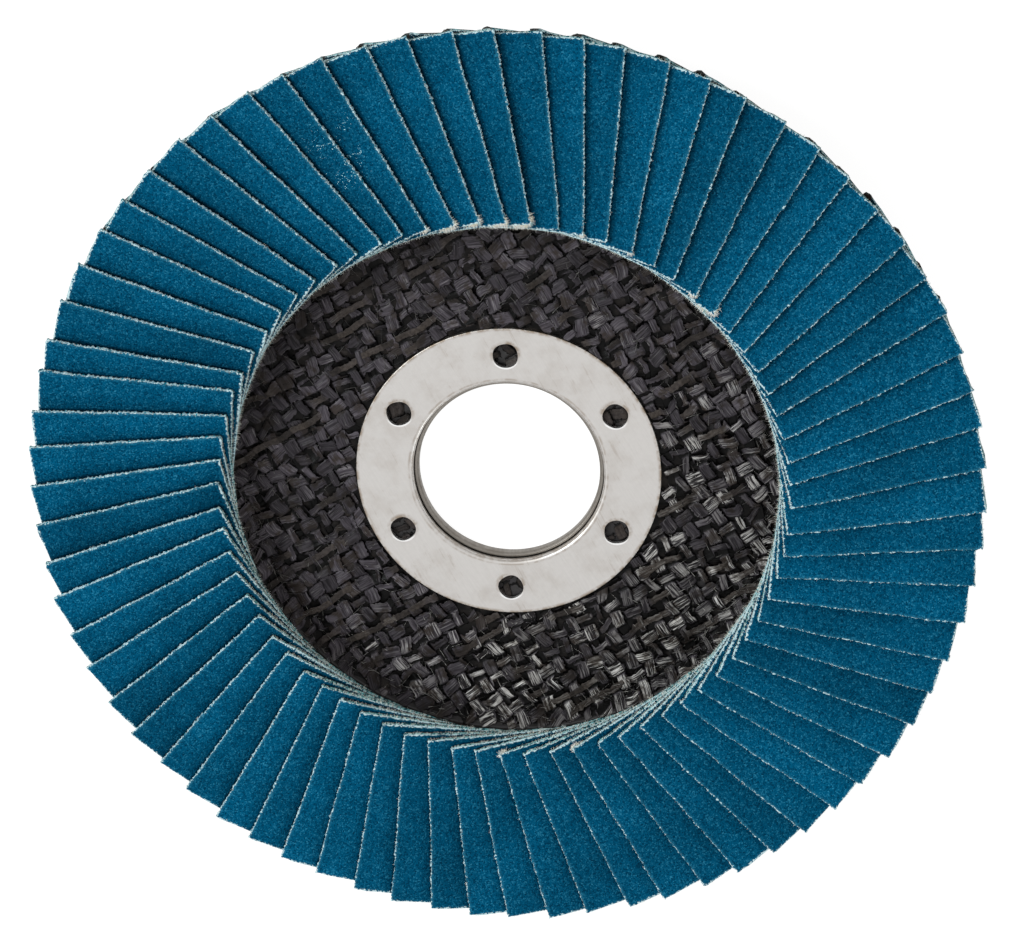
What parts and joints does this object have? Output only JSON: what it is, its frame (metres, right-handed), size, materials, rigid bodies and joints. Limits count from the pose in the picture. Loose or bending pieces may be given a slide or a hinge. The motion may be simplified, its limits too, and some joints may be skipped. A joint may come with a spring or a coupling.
{
  "type": "flap disc",
  "caption": "Flap disc with overlapping abrasive cloth flaps on a dished woven backing plate, and a steel-ringed centre bore.",
  "frame": {"origin": "centre of the bore in the plane of the hub's rear face, where the grinder's flange bears", "axes": "+Z along the bore axis, towards the flap side, so the disc lies on its back; +Y through one hole of the front ring"},
  "size_m": [0.115, 0.115, 0.011],
  "materials": {
    "ring_steel": "satin, pressed and lightly brushed",
    "eyelet_steel": "satin",
    "glass_fibre": "black resin over woven glass cloth",
    "adhesive": "cured adhesive",
    "abrasive_cloth": "gritted, with cream cut edges"
  },
  "bodies": {
    "root": {"adhesive_bed": "adhesive", "backing_plate": "glass_fibre", "flap_pair_01": "abrasive_cloth", "flap_pair_02": "abrasive_cloth", "flap_pair_03": "abrasive_cloth", "flap_pair_04": "abrasive_cloth", "flap_pair_05": "abrasive_cloth", "flap_pair_06": "abrasive_cloth", "flap_pair_07": "abrasive_cloth", "flap_pair_08": "abrasive_cloth", "flap_pair_09": "abrasive_cloth", "flap_pair_10": "abrasive_cloth", "flap_pair_11": "abrasive_cloth", "flap_pair_12": "abrasive_cloth", "flap_pair_13": "abrasive_cloth", "flap_pair_14": "abrasive_cloth", "flap_pair_15": "abrasive_cloth", "flap_pair_16": "abrasive_cloth", "flap_pair_17": "abrasive_cloth", "flap_pair_18": "abrasive_cloth", "flap_pair_19": "abrasive_cloth", "flap_pair_20": "abrasive_cloth", "flap_pair_21": "abrasive_cloth", "flap_pair_22": "abrasive_cloth", "flap_pair_23": "abrasive_cloth", "flap_pair_24": "abrasive_cloth", "flap_pair_25": "abrasive_cloth", "flap_pair_26": "abrasive_cloth", "flap_pair_27": "abrasive_cloth", "flap_pair_28": "abrasive_cloth", "flap_pair_29": "abrasive_cloth", "flap_pair_30": "abrasive_cloth", "flap_pair_31": "abrasive_cloth", "flap_pair_32": "abrasive_cloth", "flap_pair_33": "abrasive_cloth", "flap_pair_34": "abrasive_cloth", "flap_pair_35": "abrasive_cloth", "flap_pair_36": "abrasive_cloth", "front_ring": "ring_steel", "rear_eyelet": "eyelet_steel"}
  },
  "joints": []
}
